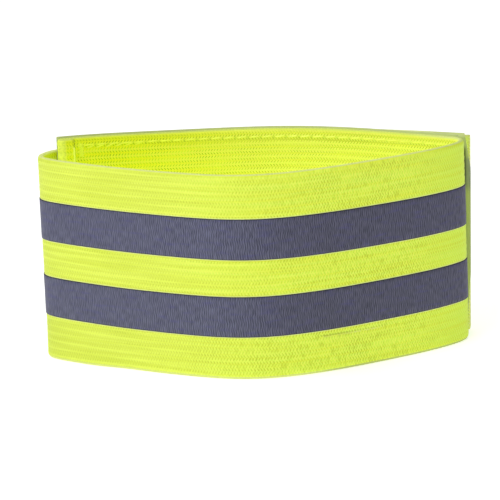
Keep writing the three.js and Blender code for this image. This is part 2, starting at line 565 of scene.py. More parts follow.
class Weave:
    """The weave's marks, a dark gap of painted shade and a light crown of painted highlight to each
    weft in each half rib, staggered on the outer face and zigzag on the inner face, and the
    unevenness of its yarn."""

    def __init__(self, finish, place):
        along, across, side = place.along, place.across, place.side
        row_place = (across - EDGE_ROUND) / (RIB_PITCH / 2)
        up = row_place.fraction() - 0.5
        odd = row_place.floor() % 2
        wander = finish.noise((along / 3, across / 1.5)) * 0.5
        lean = (odd * 2 - 1) * up * (place.right * 0.1 + place.inner * 0.35 + 0.35)
        stagger = odd * (place.outer + place.ribbed) * 0.5
        weft = (along / MARK_PITCH + stagger + lean + wander).wave()
        row_middle = up.wave()
        shorter = 1 - place.right * 0.75
        patch = finish.noise((along / 9, across / 3, side * 3))
        depth = (patch.share(0.3, 0.7) * 0.5 + 0.5) * place.from_edge.share(0.3, 1.2)
        # Masks of the painted highlight on the crowns and the painted shade in the gaps
        crown_highlight = weft.share(0.5, 0.05) * (1 - row_middle.share(0.8, 0.1) * shorter)
        self.gap = weft.share(0.4, 0.95) * (1 - row_middle.share(0.6, -0.05) * shorter)
        self.hole = self.gap * depth * (1 - place.fold_shade * 0.6)
        self.crown_highlight = crown_highlight * depth
        self.rib = (row_place * 0.5).wave()
        self.streak = finish.noise((along / 24, across / 0.7, side), 3.0)
        self.fleck = finish.noise((along / 0.45, across / 2, 3.0), 1.0)
        self.grain = finish.noise((along / 0.2, across / 0.2, side))


def yellow_finish(name, gloss, glow=FLUORESCENT_GLOW):
    """Matt fluorescent yarn, with a painted glow for its fluorescence: it gives back a little more
    light than falls on it.
    """
    shader_values = {"Sheen Weight": 0.1, "Specular IOR Level": gloss, "Emission Strength": glow}
    return Finish(name, {"Roughness": 0.8, **shader_values})


def yarn_ground(finish, place, bright):
    """The yarn's plain colour, lime outside and yellower inside, lighter in its bright streaks,
    with painted shade by the fold, at the front's lower left and on the inner face from the left
    bend on, and darker round the left end.
    """
    along = place.along
    outside_left = finish.mix(bright, "d1e146", "dfef59")
    outside_right = finish.mix(bright, "e0ec3e", "e3fe56")
    outside = finish.mix(place.toned, outside_left, outside_right)
    # Painted shade by the fold and at the front's lower left, and the same darker colour round the
    # left end
    low_left_shade = place.across.share(14, 9) * over_front(along, *LOW_LEFT_SHADE_X) * 0.14
    left_end = along.share(ROUTE.front_s(-43), ROUTE.left_s) * 0.3
    outside = finish.mix(place.fold_shade * 0.4, outside, "b2ce28")
    outside = finish.mix(low_left_shade + left_end, outside, "b4c440")
    inside_left = finish.mix(bright, "e4f012", "eff920")
    inside_right = finish.mix(bright, "eaef50", "f3f764")
    inside = finish.mix(along.share(*PALER_INSIDE), inside_left, inside_right)
    # Painted shade on the inner face from the left bend on, greener by the free end
    by_end = along.share(STRAP_LENGTH - 14, STRAP_LENGTH - 6)
    shaded_far_inside = finish.mix(by_end, "d8e400", "d4ec60")
    inside = finish.mix(along.share(ROUTE.left_s - 8, ROUTE.left_s), inside, shaded_far_inside)
    return finish.mix(place.inner, outside, inside)


def weave_marks(finish, place, weave, ground):
    """Painted shade in the ribs' grooves and painted highlight on their ridges, then painted shade
    in the weave's gaps, painted highlight on its crowns, and the weave's flecks.
    """
    # Painted shade in the grooves and painted highlight on the ridges
    rib_limit = weave.rib.share(0.6, 1.0)
    rib_middle = (1 - weave.rib).share(0.6, 1.0)
    groove = rib_limit * place.outer * (0.2 - place.right * 0.14)
    groove = groove + rib_middle * place.ribbed * 0.5
    ridge_highlight = rib_limit * (place.inner * 0.35 + place.ribbed * 0.4)
    ridge_highlight = ridge_highlight + rib_middle * place.outer * (0.12 - place.right * 0.1)
    groove_shaded = finish.mix(groove * weave.streak.share(0.3, 0.6), ground, "b4c422")
    ridge_highlighted = finish.mix(ridge_highlight, groove_shaded, "eafb62")
    # Painted shade in the weave's gaps, then painted highlight on its crowns
    gap_shade_strength = place.right * 0.36 + place.inner * 0.5 - place.ribbed * 0.14 + 0.24
    dark = finish.mix(place.right, "9aa912", "9da814")
    gap_shaded = finish.mix(weave.hole * gap_shade_strength, ridge_highlighted, dark)
    crown_highlight_strength = place.right * 0.4 + place.inner * 0.5 + 0.1
    light = finish.mix(place.along.share(*PALER_INSIDE), "e6fa3a", "e8ff7c")
    light = finish.mix(place.right, light, "d6ff70")
    crown_highlighted = finish.mix(weave.crown_highlight * crown_highlight_strength, gap_shaded, light)
    fleck_strength = (place.right - place.fold_shade) * 0.6
    return finish.mix(weave.fleck.share(0.45, 0.7) * fleck_strength, crown_highlighted, "bbca2b")


def sewing_marks(finish, place, woven):
    """Painted shade beside the loop seam's thread and in its needle holes, painted shade behind the
    hem's raw edge, and a painted highlight on the hem's fold.
    """
    along = place.along
    from_seam = abs(place.from_edge - SEAM_INSET)
    seam_shadow = abs(place.from_edge - SEAM_INSET - 0.5).share(0.5, 0.2)
    under_tape = place.inner_face * along.share(FOLD, FOLD - 4) * along.share(6, 7)
    stitch_place = ((along - ZIGZAG_TO) / STITCH_PITCH).fraction()
    needle_hole = abs(stitch_place - 0.4).share(0.36, 0.48) * from_seam.share(0.5, 0.2)
    hole_shade = needle_hole * (along.share(*FAINTER_HOLES) * 0.18 + 0.12)
    seam = (seam_shadow * 0.13 + hole_shade) * under_tape
    behind_hem = along.share(HEM_LENGTH + 0.1, HEM_LENGTH + 0.2) * along.share(4.6, 4.3) * 0.4
    # Painted shade beside the seam's thread, in the needle holes and behind the hem's raw edge;
    # then a painted highlight on the hem's fold
    sewn = finish.mix(seam + behind_hem * place.inner_face, woven, "93a80e")
    fold_highlight = along.share(-1.7, -0.8) * along.share(0.3, -0.1)
    return finish.mix(fold_highlight * 0.5, sewn, "eefc7c")


def crease_marks(finish, place, fleck, sewn):
    """Painted shade as a dark line in the crease, and a painted highlight on its light broken lip.
    """
    along = place.along
    from_crease = place.across - CREASE_Z
    creased = along.share(CREASE_START - 3, CREASE_START) * along.share(CREASE_END + 3, CREASE_END)
    creased = creased * place.side.share(0.9, 1.0)
    deep = over_front(along, *DEEP_CREASE_X) * 0.25 + 0.17
    # Painted shade in the crease's line and a painted highlight on its lip
    line = abs(from_crease).share(0.4, 0.05) * creased
    lip = abs(from_crease + 0.36).share(0.24, 0.08) * creased * fleck.share(0.3, 0.6)
    crease_shaded = finish.mix(line * deep, sewn, "8a9824")
    return finish.mix(lip * (0.6 - deep), crease_shaded, "e6efa0")


def film_beside_strips(finish, place, yarn):
    """A thin pale line along the reflective strips' edges."""
    half_strip = STRIP_WIDTH / 2
    drift = place.along.share(FOLD + STRIP_SETTLE_LENGTH, FOLD) * UPPER_STRIP_DRIFT
    beside_lower = abs(place.across - (STRIP_LOWER_Z + half_strip)) - half_strip
    beside_upper = abs(place.across - (drift + (STRIP_UPPER_Z + half_strip))) - half_strip
    film = beside_lower.share(0.28, 0.12) + beside_upper.share(0.28, 0.12)
    film = film * place.outer * place.along.share(FOLD, FOLD + 2) * 0.6
    return finish.mix(film, yarn, "f6fcb4")


def pale_edges(finish, place, streak, yarn):
    """The strap's two edges in paler yarn, darker on the inner layer, with painted shade by the
    fold and the hem, a painted contact shadow at the lower right, and a painted shade band below
    the rear's top edge by the hem.
    """
    low_edge = place.across.share(0.72, 0.55) * place.outer
    edge = abs(place.side).share(0.97, 0.75) + place.from_edge.share(0.3, 0.2) + low_edge
    selvage = finish.mix(streak, "c8d270", "d9e28c")
    rim = finish.mix(inner_layer(place.along) * 0.8, selvage, "cfdc52")
    # Painted shade by the fold, a painted contact shadow at the lower right and painted shade by
    # the hem
    rim = finish.mix(place.fold_shade * 0.6, rim, "bccc70")
    low_right_shadow = low_edge * over_front(place.along, *LOW_RIGHT_SHADOW_X)
    rim = finish.mix(low_right_shadow * 0.5, rim, "8a9a44")
    rim = finish.mix(place.hem_shade * 0.3, rim, "a8b83c")
    inner_rim = place.from_edge.share(0.62, 0.45) * place.inner * place.along.share(40, 60)
    # Painted shade band below the rear's top edge by the hem
    top_band_shade = place.from_edge.share(1.5, 0.9) * place.inner * place.hem_shade
    topped = finish.mix(top_band_shade * 0.2, yarn, "a4bc10")
    return finish.mix(edge + inner_rim * 0.5, topped, rim)


def woven_yellow():
    """The elastic's faces, with a painted glow that is weaker on the outer face's left."""
    finish = yellow_finish("woven_yellow", 0.35, INNER_GLOW)
    place = StrapPlace(finish)
    weave = Weave(finish, place)
    ground = yarn_ground(finish, place, weave.streak.share(0.32, 0.68))
    woven = weave_marks(finish, place, weave, ground)
    sewn = sewing_marks(finish, place, woven)
    creased = crease_marks(finish, place, weave.fleck, sewn)
    filmed = film_beside_strips(finish, place, creased)
    edged = pale_edges(finish, place, weave.streak, filmed)
    yarn = finish.mix(weave.grain.share(0.55, 0.8) * 0.1, edged, "b6c63c")
    # Less painted glow on the outer face's left
    less_glow = place.outer * (1 - place.toned) * OUTER_LESS_GLOW
    finish.feed("Base Color", yarn)
    finish.feed("Emission Color", finish.mix(less_glow, yarn, BLACK))
    finish.feed("Roughness", 0.7 + weave.hole * 0.2)
    finish.relief(weave.grain * 0.2 - weave.gap * 0.8, 0.1)
    return finish.material


def cut_yellow():
    """The cut ends of the elastic, with rubber cores showing between the yarns."""
    finish = yellow_finish("cut_yellow", 0.3)
    across, side = finish.mark("across"), finish.mark("side")
    place = (across - EDGE_ROUND) / (RIB_PITCH / 2)
    core = ((place.fraction() - 0.5) * (2 * math.pi)).cosine() * (1 - abs(side))
    grain = finish.noise((across / 0.2, side * 4), 3.0)
    yarn = finish.mix(grain.share(0.3, 0.7), "c6d84a", "e2ee70")
    finish.feed_glowing(finish.mix(core.share(0.3, 0.8) * 0.7, yarn, "eef2b4"))
    finish.relief(grain, 0.15)
    return finish.material


def edge_yellow():
    """The weft yarn that turns over the strap's two edges, paler than the faces, darker on the
    inner layer, with painted shade by the fold and by the hem.
    """
    finish = yellow_finish("edge_yellow", 0.25)
    along, lap = finish.mark("along"), finish.mark("lap")
    tone = finish.noise((along / 3, lap))
    ply = ((along / 0.12 + lap * 22) / 3).wave()
    outer_layer = finish.mix(tone.share(0.3, 0.7), "cad66e", "dce68c")
    yarn = finish.mix(inner_layer(along) * 0.8, outer_layer, "cfdc52")
    # Painted shade by the fold and by the hem
    yarn = finish.mix(over_front(along, *FOLD_SHADE_X) * 0.6, yarn, "b8cc6c")
    yarn = finish.mix(along.share(*SHADED_BY_HEM) * 0.3, yarn, "a8b83c")
    finish.feed_glowing(finish.mix(ply * 0.15, yarn, "b0bc58"))
    finish.relief(ply, 0.03)
    return finish.material


def thread_yellow():
    """Twisted sewing thread, palest in the middle of the rear. Its lap runs once a stitch."""
    finish = yellow_finish("thread_yellow", 0.5, THREAD_GLOW)
    along, lap = finish.mark("along"), finish.mark("lap")
    twist = (lap * 9 + along).wave()
    tone = finish.noise((along / 5, lap))
    pale = finish.mix(tone, "ecfe60", "f4ff80")
    pale = finish.mix(along.share(62, 90) * 0.6, pale, "e2f04e")
    yarn = finish.mix(along.share(65, 20), pale, "e4f642")
    finish.feed_glowing(finish.mix(twist.share(0.4, 1.0) * 0.25, yarn, "c8dc34"))
    finish.relief(twist, 0.04)
    return finish.material


def reflective_grey():
    """Reflective tape: fine beads, and the weave under it showing as short leaning strokes. It is
    painted darker towards the right, as shade.
    """
    finish = Finish("reflective_grey", {"Metallic": 0.3})
    along, across = finish.mark("along"), finish.mark("across")
    row_place = across / RIB_PITCH
    odd = row_place.floor() % 2
    up = row_place.fraction() - 0.5
    wander = finish.noise((along / 2.5, across / 1.6)) * 1.2
    stroke = (along / STROKE_PITCH + (odd * 2 - 1) * up * 0.45 + wander).wave()
    scratch = finish.noise((along / 0.28, across / 1.8), 0.0).share(0.3, 0.7)
    strong = finish.noise((along / 5, across / 3)).share(0.3, 0.65)
    left = along.share(ROUTE.front_s(-8), ROUTE.front_s(-36))
    beads = finish.noise((along / 0.1, across / 0.1), 1.0)
    tint = finish.noise((along / 5, across / 0.9, 7.0))
    line = (stroke * 0.6 + scratch * 0.4 - 0.5) * (0.78 - left * 0.18) + strong * 0.06 + 0.34
    # Painted shade: the strokes darker towards the right
    right = along.share(ROUTE.front_s(-12), ROUTE.front_s(16))
    dark = finish.mix(right, "3b3c50", "353544")
    light = finish.mix(right, "7d7f9b", "6e6e88")
    base = finish.mix(line, dark, light)
    cooler = finish.mix(tint.share(0.5, 0.75) * 0.4, base, "4f4c88")
    beaded = finish.mix(beads.share(0.4, 0.9) * 0.2, cooler, "62647c")
    from_edge = STRIP_WIDTH / 2 - abs(across - STRIP_WIDTH / 2)
    finish.feed("Base Color", finish.mix(from_edge.share(0.26, 0.1) * 0.9, beaded, "1c1d1a"))
    finish.feed("Roughness", 0.6 - line * 0.12)
    finish.relief(line * 0.7 + beads * 0.3, 0.05)
    return finish.material


def tape_grey(name, low, high, far, top):
    """Grey-green tape yarn with a fuzzy grain. It takes the far colour away from the strap's start
    and the top colour, a painted highlight with a painted glow, along its upper edge, which is
    dimmer by the hem and the free end. The hook tape's end is greyer and darker where it shows
    beside the fold, darkest in a painted shadow there."""
    shader_values = {"Sheen Weight": 0.3, "Specular IOR Level": 0.2, "Roughness": 0.9}
    finish = Finish(name, {"Emission Strength": TAPE_GLOW, **shader_values})
    along, across = finish.mark("along"), finish.mark("across")
    grain = finish.noise((along / 0.3, across / 0.3), 3.0, 0.65)
    cloud = finish.noise((along / 6, across / 6))
    yarn = finish.mix(grain.share(0.3, 0.7), low, high)
    clouded = finish.mix(cloud.share(0.4, 0.7) * 0.2, yarn, low)
    toned = finish.mix(along.share(20, 90) * 0.8, clouded, far)
    # A painted highlight and glow on the top edge, dimmed by the free end and the hem
    by_free_end = along.share(HOOK_TAPE_END - 18, HOOK_TAPE_END - 7)
    dim = by_free_end * 0.6 + along.share(*SHADED_BY_HEM) * 0.4
    top_highlight = across.share(49.2, 49.9) * (1 - dim)
    topped = finish.mix(top_highlight, toned, top)
    bare_end = along.share(HOOK_TAPE_END - 3, HOOK_TAPE_END - 2) * across.share(34.6, 38.4)
    greyer = bare_end * across.share(45.0, 43.5) * 0.8
    topped = finish.mix(greyer, topped, "9ba585")
    # Painted shadow in the gap beside the fold
    before_end = along.share(HOOK_TAPE_END - 0.7, HOOK_TAPE_END - 1.2)
    fold_shade = before_end * along.share(FOLD + 60, FOLD + 70)
    shaded = fold_shade * across.share(35, 41) * across.share(47.6, 45.8) * 0.75
    finish.feed("Base Color", finish.mix(shaded, topped, "4c5638"))
    finish.feed("Emission Color", finish.mix(top_highlight, BLACK, top))
    finish.relief(grain, 0.15)
    return finish.material


FINISHES = {
    "woven": woven_yellow(),
    "cut": cut_yellow(),
    "edge": edge_yellow(),
    "thread": thread_yellow(),
    "strip": reflective_grey(),
    # The last colour of each tape is its painted highlight along the top edge.
    "loop_ground": tape_grey("loop_ground_grey", "9eac5c", "b8c676", "ccdc86", "c4d282"),
    "pile": tape_grey("pile_grey", "acba72", "ceda98", "cad88c", "ceda98"),
    "hook_ground": tape_grey("hook_ground_grey", "b8ca70", "cfdf86", "c3d37f", "eefaac"),
    "hooks": tape_grey("hook_grey", "b4c470", "d0de90", "c6d684", "dcec92"),
}


def on_band(piece, slot, *nodes):
    """The piece rides on the armband, and stands for the nodes named."""
    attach(piece, "root")
    if nodes:
        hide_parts(*nodes)
    return piece


# Woven strap


def strap_section():
    """Side, height and relief of the ribbed section: up the outer face, over, down the inner."""
    ribbed = np.arange(RIBS * RIB_POINTS + 1) / RIB_POINTS
    at_crease = (CREASE_Z - EDGE_ROUND + CREASE_POINTS) / RIB_PITCH
    place = np.sort(np.concatenate([ribbed, at_crease]))
    face_height = EDGE_ROUND + place * RIB_PITCH
    outer_relief = np.abs(np.sin(math.pi * place)) ** 0.6
    inner_relief = np.cos(math.pi * place) ** 2
    turn = np.arange(1, EDGE_POINTS) * math.pi / EDGE_POINTS
    top = STRAP_WIDTH - EDGE_ROUND + EDGE_ROUND * np.sin(turn)
    flat = np.zeros_like(turn)
    ones = np.ones_like(face_height)
    side = np.concatenate([ones, np.cos(turn), -ones, -np.cos(turn)])
    height = np.concatenate([face_height, top, face_height[::-1], STRAP_WIDTH - top])
    relief = np.concatenate([outer_relief, flat, inner_relief[::-1], flat])
    half_bottom = (EDGE_POINTS - 1) // 2
    return tuple(np.roll(values, half_bottom) for values in (side, height, relief))


def strap_stations():
    """Middle points, outer normals, marks and half thickness along the strap, hem fold first."""
    flap_s = np.linspace(HEM_LENGTH, HEM_BEND_AT, 5)[:-1]
    bend = np.linspace(math.pi, 0, 9)[:-1]
    main_s = np.arange(HEM_BEND_AT, STRAP_LENGTH - STRAP_STEP / 2, STRAP_STEP)
    main_s = np.append(main_s, STRAP_LENGTH)
    at_bend = np.full(len(bend), HEM_BEND_AT)
    outward, along = ROUTE.outward(at_bend), ROUTE.along(at_bend)
    bend_out = np.cos(bend)[:, None] * outward - np.sin(bend)[:, None] * along
    bend_centre = ROUTE.place(at_bend, -HEM_BEND_RADIUS, 0)
    middle = np.concatenate([
        ROUTE.place(flap_s, -2 * HEM_BEND_RADIUS, 0),
        bend_centre + bend_out * HEM_BEND_RADIUS,
        ROUTE.place(main_s, 0, 0),
    ])
    normal = np.concatenate([-ROUTE.outward(flap_s), bend_out, ROUTE.outward(main_s)])
    bend_mark = HEM_BEND_AT - bend * HEM_BEND_RADIUS
    flap_mark = bend_mark[0] - (flap_s - HEM_BEND_AT)
    mark = np.concatenate([flap_mark, bend_mark, main_s])
    thick = smooth_share(mark, HEM_LENGTH, HEM_LENGTH + 2)
    half = HEM_HALF_THICKNESS + (STRAP_THICKNESS / 2 - RIB_RELIEF - HEM_HALF_THICKNESS) * thick
    return middle, normal, mark, half


def woven_strap():
    side, height, relief = strap_section()
    middle, normal, mark, half = strap_stations()
    offset = side * (half[:, None] + RIB_RELIEF * relief) * rim_share(height)
    offset -= crease(mark[:, None], height, side)
    forwards, upwards = edge_shift(mark[:, None], height)
    points = middle[:, None] + normal[:, None] * offset[..., None]
    points[..., 1] -= forwards
    points[..., 2] += height + upwards
    points += ROUTE.along(mark)[:, None] * slant(mark[:, None], height, STRAP_LENGTH)[..., None]
    marks = {"along": mark[:, None], "across": height, "side": side}
    strap = swept("woven_strap", points, [FINISHES["woven"], FINISHES["cut"]], marks)
    return on_band(strap, "elastic_yellow", "elastic_band")


def crease(s, height, side):
    """A fine crease in the front's lower zone, close under the lower strip, with a raised lip."""
    share = smooth_share(s, CREASE_START - 4, CREASE_START + 2)
    share = share * smooth_share(s, CREASE_END + 4, CREASE_END - 2)
    groove = np.exp(-(((height - CREASE_Z) / CREASE_WIDTH) ** 2))
    lip = np.exp(-(((height - CREASE_Z + 0.35) / CREASE_WIDTH) ** 2))
    return CREASE_DEPTH * share * (groove - 0.2 * lip) * (side > 0.99)


def weft_turns():
    """The weft yarn's turns over the strap's top and bottom edges, one for each weft."""
    s = np.arange(HEM_BEND_AT, STRAP_LENGTH, WEFT_PITCH)
    turn = np.linspace(-0.2, math.pi + 0.2, 10)
    reach_out = (STRAP_THICKNESS / 2 - 0.02) * (1 - RIM_THINNER) - WEFT_RADIUS
    reach_up = EDGE_ROUND - WEFT_RADIUS + 0.03
    offset = reach_out * np.cos(turn)
    rise = reach_up * np.sin(turn)
    both = []
    for top in (True, False):
        height = STRAP_WIDTH - EDGE_ROUND + rise if top else EDGE_ROUND - rise
        shift = slant(s[:, None], height, STRAP_LENGTH)
        forwards, upwards = edge_shift(s[:, None], height)
        place = ROUTE.place(s[:, None] + shift, offset, height + upwards)
        place[..., 1] -= forwards
        both.append(place)
    centres = np.concatenate(both)
    s_twice = np.concatenate([s, s])
    reference = ROUTE.along(s_twice)[:, None]
    marks = {"along": s_twice[:, None], "lap": np.linspace(0, 1, len(turn))}
    turns = tubes("weft_turns", centres, reference, WEFT_RADIUS, 5, FINISHES["edge"], marks)
    return on_band(turns, "elastic_yellow")


# Reflective strips


def uneven(count, lanes, rng):
    """Random heights from -1 to 1 for each station and lane, neighbours a little alike."""
    values = rng.uniform(-1, 1, (count, lanes))
    return (values + 0.6 * np.roll(values, 1, axis=1)) / 1.6


def reflective_strip(name, low, start_drift, node, seed):
    """A strip whose lower edge starts off its place by start_drift and is straight further on."""
    end = STRAP_LENGTH - STRIP_END_MARGIN
    s = np.arange(FOLD + STRIP_START_PAST_FOLD, end, STRIP_STEP)
    middle_lanes = np.linspace(1, STRIP_WIDTH - 1, 6)
    lane_height = np.concatenate([[0, 0.1], middle_lanes, [STRIP_WIDTH - 0.1, STRIP_WIDTH]])
    lanes = len(lane_height)
    knots = np.arange(s[0] - 1, s[-1] + 1, PUCKER_PITCH)
    bumps = uneven(len(knots), lanes, np.random.default_rng(seed))
    pucker = np.stack([np.interp(s, knots, bumps[:, lane]) for lane in range(lanes)], axis=1)
    pucker[:, [0, -1]] *= 0.3
    outer = STRIP_OUTSIDE + PUCKER_RELIEF * pucker
    outer[:, [0, -1]] -= 0.06
    inner = np.full((len(s), lanes), STRIP_INSIDE)
    offset = np.concatenate([outer, inner], axis=1)
    across = np.concatenate([lane_height, lane_height[::-1]])
    height = low + start_drift * smooth_share(s, FOLD + STRIP_SETTLE_LENGTH, FOLD)[:, None] + across
    shift = slant(s[:, None], height, end)
    points = ROUTE.place(s[:, None] + shift, offset, height)
    marks = {"along": s[:, None], "across": across}
    strip = swept(name, points, [FINISHES["strip"]], marks)
    return on_band(strip, "reflective_grey", node)


# Hook-and-loop closure


def tape_ground(name, from_s, to_s, inside, outside, finish, top_of, low_of):
    """A flat tape from inside to outside, with its top and bottom given at each station."""
    s = np.linspace(from_s, to_s - HOOK_CORNER_ALONG, int((to_s - from_s) / STRAP_STEP) + 2)
    s = np.append(s, to_s)
    top, low = top_of(s), low_of(s)
    lanes = np.linspace(0, 1, 24)
    heights = low[:, None] + (top - low)[:, None] * lanes
    across = np.concatenate([heights, heights[:, ::-1]], axis=1)
    rounded = 0.12 * (np.abs(lanes - 0.5) > 0.49)
    sign = 1 if outside > inside else -1
    offset = np.concatenate([outside - sign * rounded, inside + sign * rounded[::-1]])
    if sign < 0:
        across, offset = across[:, ::-1], offset[::-1]
    shift = slant(s[:, None], across, HOOK_TAPE_END)
    points = ROUTE.place(s[:, None] + shift, offset, across)
    return swept(name, points, [finish], {"along": s[:, None], "across": across})


def loop_tape():
    tape = tape_ground(
        "loop_tape",
        LOOP_START,
        FOLD - LOOP_STOP_BEFORE_FOLD,
        TAPE_INSIDE,
        TAPE_INSIDE + LOOP_GROUND,
        FINISHES["loop_ground"],
        lambda s: np.full_like(s, STRAP_WIDTH + LOOP_RISE),
        lambda s: np.full_like(s, TAPE_INSET),
    )
    return on_band(tape, "tape_grey", "loop_panel")


def loop_pile():
    """Small loops of yarn over the parts of the loop tape that the outer layer leaves bare."""
    rng = np.random.default_rng(11)
    count = PILE_LOOPS
    s = rng.uniform(LOOP_START, FOLD - LOOP_STOP_BEFORE_FOLD - 0.4, count)
    height = STRAP_WIDTH - TAPE_INSET - rng.uniform(0.0, PILE_BAND, count)
    at_end = rng.uniform(0, 1, count) < 0.2
    s = np.where(at_end, rng.uniform(LOOP_START, PILE_BAND, count), s)
    height = np.where(at_end, rng.uniform(TAPE_INSET, STRAP_WIDTH - TAPE_INSET, count), height)
    heading = rng.uniform(0, 2 * math.pi, count)
    span = rng.uniform(0.25, 0.5, count)
    tall = rng.uniform(0.25, 0.45, count)
    t = np.linspace(0, 1, 6)
    run = (t - 0.5) * span[:, None]
    rise = tall[:, None] * np.sin(math.pi * t) ** 0.7
    lean = rng.uniform(-0.2, 0.2, (count, 1)) * np.sin(math.pi * t)
    base = TAPE_INSIDE + LOOP_GROUND - 0.05
    along = s[:, None] + run * np.cos(heading)[:, None] + lean
    along = np.maximum(along, LOOP_START + 0.15)
    up = height[:, None] + run * np.sin(heading)[:, None] + lean
    up = np.clip(up, 0.1, STRAP_WIDTH - 0.3)
    centres = ROUTE.place(along, base + rise, up)
    reference = np.stack([np.sin(heading), -np.cos(heading), 0.3 + 0 * heading], axis=-1)[:, None]
    marks = {"along": along, "across": up}
    pile = tubes("loop_pile", centres, reference, PILE_RADIUS, 3, FINISHES["pile"], marks)
    return on_band(pile, "tape_grey")


def hook_corner(s, down):
    return down * np.clip(1 - (HOOK_TAPE_END - s) / HOOK_CORNER_ALONG, 0, 1)


def hook_top(s):
    return STRAP_WIDTH + HOOK_RISE - hook_corner(s, HOOK_TOP_CORNER)


def hook_low(s):
    return TAPE_INSET + hook_corner(s, HOOK_LOW_CORNER)


def hook_tape():
    tape = tape_ground(
        "hook_tape",
        HOOK_TAPE_END - HOOK_LENGTH,
        HOOK_TAPE_END,
        -TAPE_INSIDE,
        -TAPE_INSIDE - HOOK_GROUND,
        FINISHES["hook_ground"],
        hook_top,
        hook_low,
    )
    return on_band(tape, "tape_grey", "hook_panel")


def hook_rows():
    """Rows of bent hooks on the hook tape, each row leaning the other way."""
    s = np.arange(HOOK_TAPE_END - HOOK_LENGTH + 0.6, HOOK_TAPE_END - 0.3, HOOK_PITCH_ALONG)
    height = np.arange(TAPE_INSET + 0.8, STRAP_WIDTH - TAPE_INSET - 0.6, HOOK_PITCH_ACROSS)
    s_grid, height_grid = (grid.ravel() for grid in np.meshgrid(s, height, indexing="ij"))
    inside = (height_grid < hook_top(s_grid) - 0.3) & (height_grid > hook_low(s_grid) + 0.3)
    s_grid, height_grid = s_grid[inside], height_grid[inside]
    way = np.where(np.round(height_grid / HOOK_PITCH_ACROSS) % 2 == 0, 1.0, -1.0)[:, None]
    out = np.array([0, 0.2, 0.42, 0.58, 0.66, 0.62, 0.5])
    run = np.array([0, 0.01, 0.05, 0.14, 0.28, 0.42, 0.48])
    base = -TAPE_INSIDE - HOOK_GROUND + 0.04
    along = s_grid[:, None] + way * run
    centres = ROUTE.place(along, base - out, height_grid[:, None])
    marks = {"along": along, "across": height_grid[:, None]}
    hooks = tubes("hook_rows", centres, UPRIGHT, HOOK_RADIUS, 4, FINISHES["hooks"], marks)
    return on_band(hooks, "tape_grey")


# Sewing


def stitches(name, corners, face, pitch, slope=0.0, length_share=0.86):
    """Lockstitches along a line of (s, height) corners, on the outer (1) or inner (-1) face. Each
    fills length_share of its step, and its far end lies off the line by slope."""
    starts, ends = [], []
    for (s0, h0), (s1, h1) in zip(corners, corners[1:]):
        count = max(1, round(math.hypot(s1 - s0, h1 - h0) / pitch))
        places = np.linspace((s0, h0), (s1, h1), count + 1)
        starts.append(places[:-1])
        ends.append(places[1:])
    start, end = np.concatenate(starts), np.concatenate(ends)
    end = start + (end - start) * length_share + np.array([0, slope])
    t = np.linspace(0, 1, 8)
    run = start[:, None] + (end - start)[:, None] * t[:, None]
    proud = 0.2 * np.sin(math.pi * t) ** 0.5 - 0.14
    surface = STRAP_THICKNESS / 2 - RIB_RELIEF / 2 + proud
    centres = ROUTE.place(run[..., 0], face * surface, run[..., 1])
    radii = THREAD_RADIUS * (0.55 + 0.45 * np.sin(math.pi * t) ** 0.5)
    marks = {"along": run[..., 0], "lap": t}
    reference = ROUTE.outward(run[..., 0])
    piece = tubes(name, centres, reference, radii, 6, FINISHES["thread"], marks)
    return on_band(piece, "elastic_yellow")


def loop_seam():
    """The loop tape's seam, seen on the strap's inner face: along both edges and by the fold."""
    top, low = STRAP_WIDTH - SEAM_INSET, SEAM_INSET
    far = FOLD - LOOP_STOP_BEFORE_FOLD - 1.6
    corners = [(ZIGZAG_TO, top), (far, top), (far, low), (ZIGZAG_TO, low)]
    return stitches("loop_seam", corners, -1, STITCH_PITCH, slope=0.3, length_share=0.8)


def seam_lock():
    """The seam's first stitches, sewn over a second time a little further from the edge."""
    top, low = STRAP_WIDTH - SEAM_INSET, SEAM_INSET
    near, far = ZIGZAG_TO + 0.6, SEAM_LOCK_END
    pieces = [
        stitches("upper_seam_lock", [(near, top - 0.7), (far, top - 0.5)], -1, 2.3, 0.7),
        stitches("lower_seam_lock", [(near, low + 0.7), (far, low + 0.5)], -1, 2.3, -0.7),
    ]
    return joined("seam_lock", pieces)


def bartacks():
    """Short dense zigzags beside the hem's raw edge, at the seam's two corners."""
    pieces = []
    for name, start, step in BARTACKS:
        heights = start + step * np.arange(BARTACK_TURNS)
        corners = list(zip(itertools.cycle((ZIGZAG_FROM, ZIGZAG_TO)), heights))
        pieces.append(stitches(name, corners, -1, 2.0, length_share=0.98))
    return joined("bartacks", pieces)


def hook_seam():
    """The hook tape's seam, seen on the strap's outer face: once round the tape."""
    top, low = STRAP_WIDTH - SEAM_INSET, SEAM_INSET
    near = HOOK_TAPE_END - HOOK_LENGTH + HOOK_SEAM_INSET
    far = HOOK_TAPE_END - HOOK_SEAM_INSET
    corners = [(near, low), (far, low), (far, top), (near, top), (near, low)]
    return stitches("hook_seam", corners, 1, STITCH_PITCH)


def fused_edge():
    """The hem's raw edge, melted to a fine pale bead so that it doesn't fray."""
    height = np.arange(0.8, STRAP_WIDTH - 1.7, 0.5)[None]
    rng = np.random.default_rng(9)
    s = HEM_LENGTH + rng.uniform(-0.04, 0.04, height.shape)
    wobble = rng.uniform(-BEAD_WOBBLE, BEAD_WOBBLE, height.shape)
    offset = -2 * HEM_BEND_RADIUS - HEM_HALF_THICKNESS + 0.12 + wobble
    centres = ROUTE.place(s, offset, height)
    marks = {"along": height, "lap": height * 0.1}
    reference = ROUTE.outward(np.full_like(height, HEM_LENGTH))
    bead = tubes("fused_edge", centres, reference, BEAD_RADIUS, 8, FINISHES["thread"], marks)
    return on_band(bead, "elastic_yellow")


